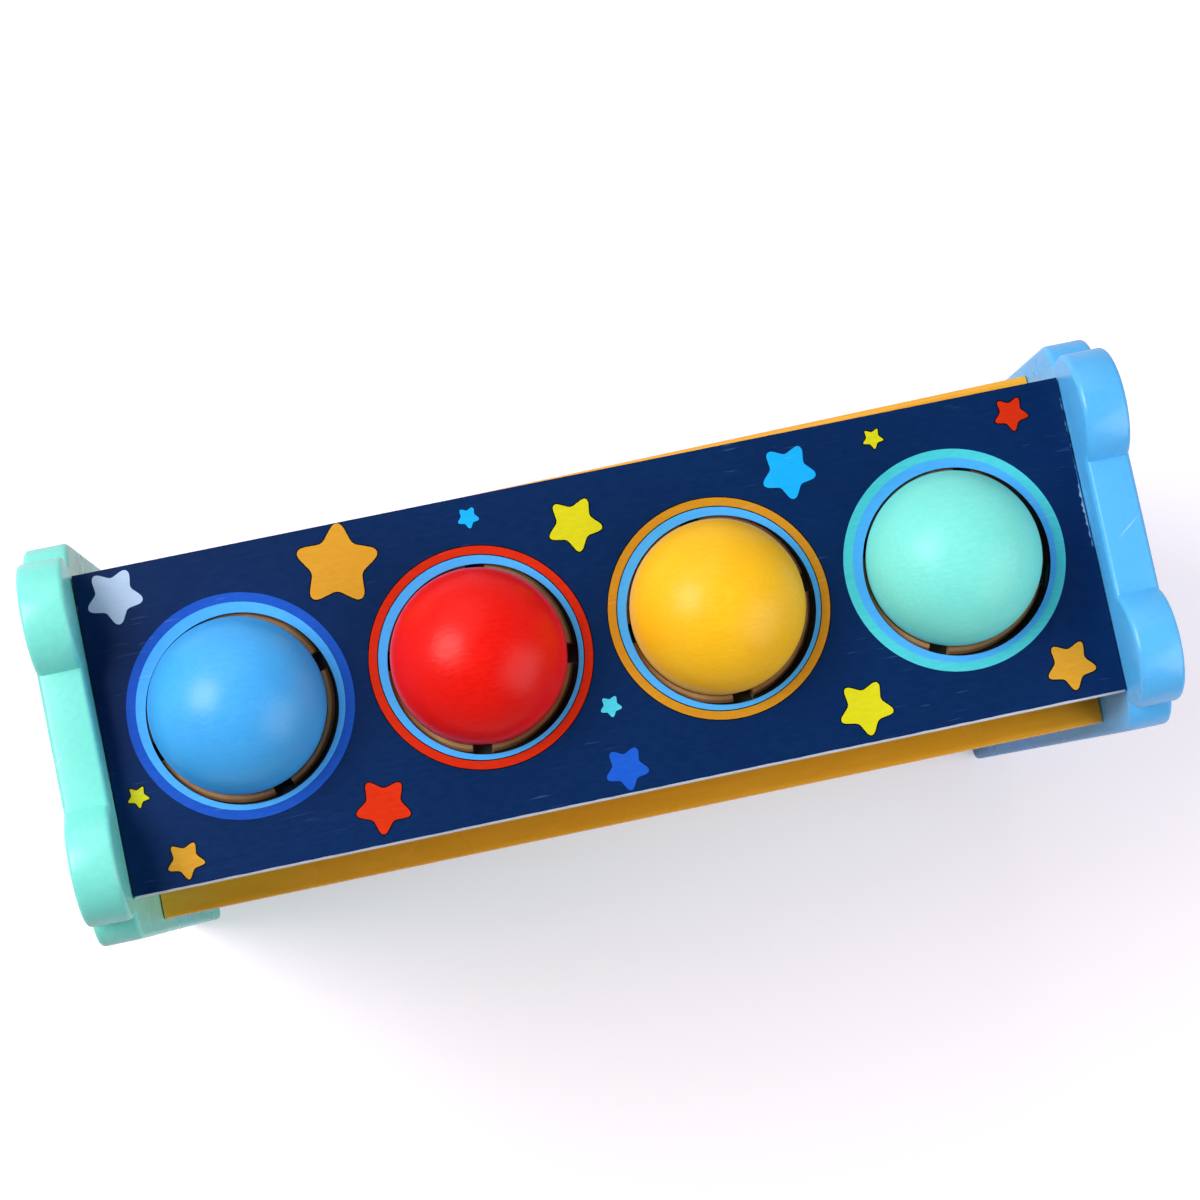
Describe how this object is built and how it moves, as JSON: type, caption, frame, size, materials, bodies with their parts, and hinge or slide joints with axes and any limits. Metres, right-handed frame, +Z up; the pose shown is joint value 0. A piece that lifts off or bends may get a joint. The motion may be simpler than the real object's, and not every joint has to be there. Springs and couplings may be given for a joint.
{
  "type": "ball pounding toy",
  "caption": "Wooden ball pounding toy: balls held by flexible rings in a printed deck between cloud-topped end panels, over zig-zag ramps they roll down when knocked through.",
  "frame": {"origin": "on the floor under the middle of the toy", "axes": "+X along the deck from the mint end panel to the blue one, +Y to the back, +Z up"},
  "size_m": [0.2814, 0.1032, 0.2566],
  "materials": {
    "navy_deck": "satin print on painted plywood",
    "mint_panel": "satin paint on solid wood",
    "blue_panel": "satin paint on solid wood",
    "retaining_ring": "matte moulded rubber",
    "blue_ball": "satin lacquer on solid wood",
    "red_ball": "satin lacquer on solid wood",
    "yellow_ball": "satin lacquer on solid wood",
    "mint_ball": "satin lacquer on solid wood",
    "yellow_rail": "satin paint on solid wood",
    "blue_rail": "satin paint on solid wood",
    "mint_rail": "satin paint on solid wood",
    "ramp_plywood": "sanded birch plywood",
    "screw_steel": "zinc plated"
  },
  "bodies": {
    "stand": {"deck": "navy_deck", "left_end_panel": "mint_panel", "right_end_panel": "blue_panel", "retaining_ring_blue": "retaining_ring", "retaining_ring_red": "retaining_ring", "retaining_ring_yellow": "retaining_ring", "retaining_ring_mint": "retaining_ring", "upper_ramp_floor": "ramp_plywood", "upper_front_rail": "yellow_rail", "upper_back_rail": "yellow_rail", "middle_ramp_floor": "ramp_plywood", "middle_front_rail": "blue_rail", "middle_back_rail": "blue_rail", "lower_ramp_floor": "ramp_plywood", "lower_front_rail": "mint_rail", "lower_back_rail": "mint_rail", "deck_screw_left_front": "screw_steel", "deck_screw_left_back": "screw_steel", "deck_screw_right_front": "screw_steel", "deck_screw_right_back": "screw_steel", "upper_rail_screw_left_front": "screw_steel", "upper_rail_screw_left_back": "screw_steel", "upper_rail_screw_right_front": "screw_steel", "upper_rail_screw_right_back": "screw_steel", "middle_rail_screw_left_front": "screw_steel", "middle_rail_screw_left_back": "screw_steel", "middle_rail_screw_right_front": "screw_steel", "middle_rail_screw_right_back": "screw_steel", "lower_rail_screw_left_front": "screw_steel", "lower_rail_screw_left_back": "screw_steel", "lower_rail_screw_right_front": "screw_steel", "lower_rail_screw_right_back": "screw_steel"},
    "blue_ball": {"ball_blue": "blue_ball"},
    "red_ball": {"ball_red": "red_ball"},
    "yellow_ball": {"ball_yellow": "yellow_ball"},
    "mint_ball": {"ball_mint": "mint_ball"}
  },
  "joints": [
    {"name": "blue_ball_drop", "type": "slide", "parent": "stand", "child": "blue_ball", "axis": [0, 0, -1], "range_m": [0, 0.0665], "deforming": ["retaining_ring_blue"]},
    {"name": "red_ball_drop", "type": "slide", "parent": "stand", "child": "red_ball", "axis": [0, 0, -1], "range_m": [0, 0.0518], "deforming": ["retaining_ring_red"]},
    {"name": "yellow_ball_drop", "type": "slide", "parent": "stand", "child": "yellow_ball", "axis": [0, 0, -1], "range_m": [0, 0.0452], "deforming": ["retaining_ring_yellow"]},
    {"name": "mint_ball_drop", "type": "slide", "parent": "stand", "child": "mint_ball", "axis": [0, 0, -1], "range_m": [0, 0.0386], "deforming": ["retaining_ring_mint"]}
  ]
}
